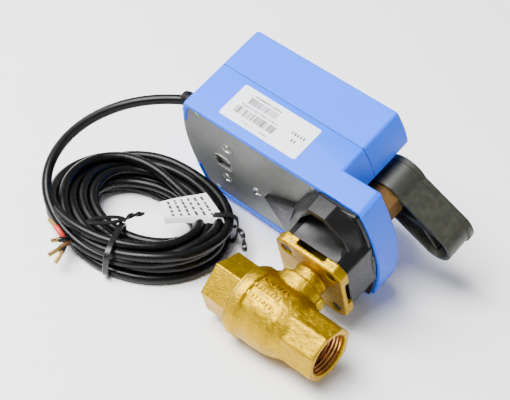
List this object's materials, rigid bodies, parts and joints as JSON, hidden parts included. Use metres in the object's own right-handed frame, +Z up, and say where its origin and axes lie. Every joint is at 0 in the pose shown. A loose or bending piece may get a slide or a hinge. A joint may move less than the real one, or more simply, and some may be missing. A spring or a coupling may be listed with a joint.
{
  "type": "zone valve",
  "caption": "Motorised ball valve: brass two-port valve, black mounting adapter and geared blue actuator with swing handle and coiled lead.",
  "frame": {"origin": "on the surface the device lies on, below the middle of the device without its lead", "axes": "+X along the pipe from the inlet towards the handle end, +Z up from the surface; the stem runs along +Y, raised by the lying angle"},
  "size_m": [0.1872, 0.1497, 0.0878],
  "materials": {
    "brass": "rough sand-cast brass, lightly tumbled",
    "bronze": "dull bronze-brown",
    "chrome_ball": "polished",
    "ptfe": "waxy white",
    "seal_rubber": "smooth black",
    "galvanised_steel": "zinc-plated sheet with soft spangle",
    "plated_steel": "bright zinc plate",
    "blue_plastic": "fine moulded satin, sky blue",
    "button_plastic": "satin blue",
    "black_plastic": "glass-filled black moulding, faint mottle",
    "acetal": "natural acetal",
    "motor_can": "drawn can",
    "board_green": "solder mask",
    "terminal_green": "moulded",
    "capacitor_black": "sleeve",
    "relay_blue": "moulded",
    "label_paper": "printed white film",
    "cable_jacket": "round black PVC jacket",
    "core_wires": "coloured insulation with stripped copper tips",
    "tie_plastic": "flat twist tie",
    "tag_paper": "printed paper flag"
  },
  "bodies": {
    "base": {"valve_body": "brass", "end_connector": "brass", "connector_seal": "ptfe", "seat_inlet": "ptfe", "seat_outlet": "ptfe", "thrust_washer": "ptfe", "gland_nut": "brass", "mounting_adapter": "black_plastic", "adapter_screws": "plated_steel", "base_plate": "galvanised_steel", "plate_rivets": "plated_steel", "housing_case": "blue_plastic", "housing_cover": "blue_plastic", "cover_screws": "plated_steel", "lower_bush": "acetal", "upper_bush": "acetal", "gear_axles": "plated_steel", "motor_body": "motor_can", "motor_posts": "plated_steel", "circuit_board": "board_green", "terminal_block": "terminal_green", "capacitor": "capacitor_black", "relay": "relay_blue", "board_posts": "blue_plastic", "button_spring": "plated_steel", "cable_grommet": "seal_rubber", "side_label": "label_paper", "cable_lead": "cable_jacket", "cable_coil": "cable_jacket", "cable_cores": "core_wires", "coil_tie_front": "tie_plastic", "coil_tie_back": "tie_plastic", "cable_tag": "tag_paper"},
    "drive": {"valve_ball": "chrome_ball", "valve_stem": "bronze", "stem_seals": "seal_rubber", "output_coupler": "bronze", "output_gear": "acetal", "handle": "black_plastic", "handle_screw": "plated_steel"},
    "gear_c": {"gear_c": "acetal"},
    "gear_b": {"gear_b": "acetal"},
    "gear_a": {"gear_a": "acetal"},
    "motor_shaft": {"motor_pinion": "bronze"},
    "button": {"release_button": "button_plastic"}
  },
  "joints": [
    {"name": "handle_turn", "type": "hinge", "parent": "base", "child": "drive", "pos_m": [0.0322, 0.00792, 0.03901], "axis": [0, 0.9277, 0.3733], "range_deg": [-77, 13]},
    {"name": "gear_c_turn", "type": "hinge", "parent": "base", "child": "gear_c", "pos_m": [0.00997, 0.00922, 0.03578], "axis": [0, 0.9277, 0.3733], "range_deg": [-28, 156]},
    {"name": "gear_b_turn", "type": "hinge", "parent": "base", "child": "gear_b", "pos_m": [-0.00663, 0.01019, 0.03337], "axis": [0, 0.9277, 0.3733], "range_deg": [-387, 67]},
    {"name": "gear_a_turn", "type": "hinge", "parent": "base", "child": "gear_a", "pos_m": [-0.02411, 0.01121, 0.03083], "axis": [0, 0.9277, 0.3733], "range_deg": [-210.9, 1239.5]},
    {"name": "motor_turn", "type": "hinge", "parent": "base", "child": "motor_shaft", "pos_m": [-0.04153, 0.00794, 0.03895], "axis": [0, 0.9277, 0.3733], "range_deg": [-5659.1, 957.1]},
    {"name": "release_press", "type": "slide", "parent": "base", "child": "button", "axis": [0, -0.9277, -0.3733], "range_m": [0, 0.0015], "stiffness_N_per_m": 300}
  ],
  "couplings": [
    {"joint": "gear_c_turn", "follows": "handle_turn", "ratio": -2},
    {"joint": "gear_b_turn", "follows": "handle_turn", "ratio": 5},
    {"joint": "gear_a_turn", "follows": "handle_turn", "ratio": -16.071},
    {"joint": "motor_turn", "follows": "handle_turn", "ratio": 73.469}
  ]
}
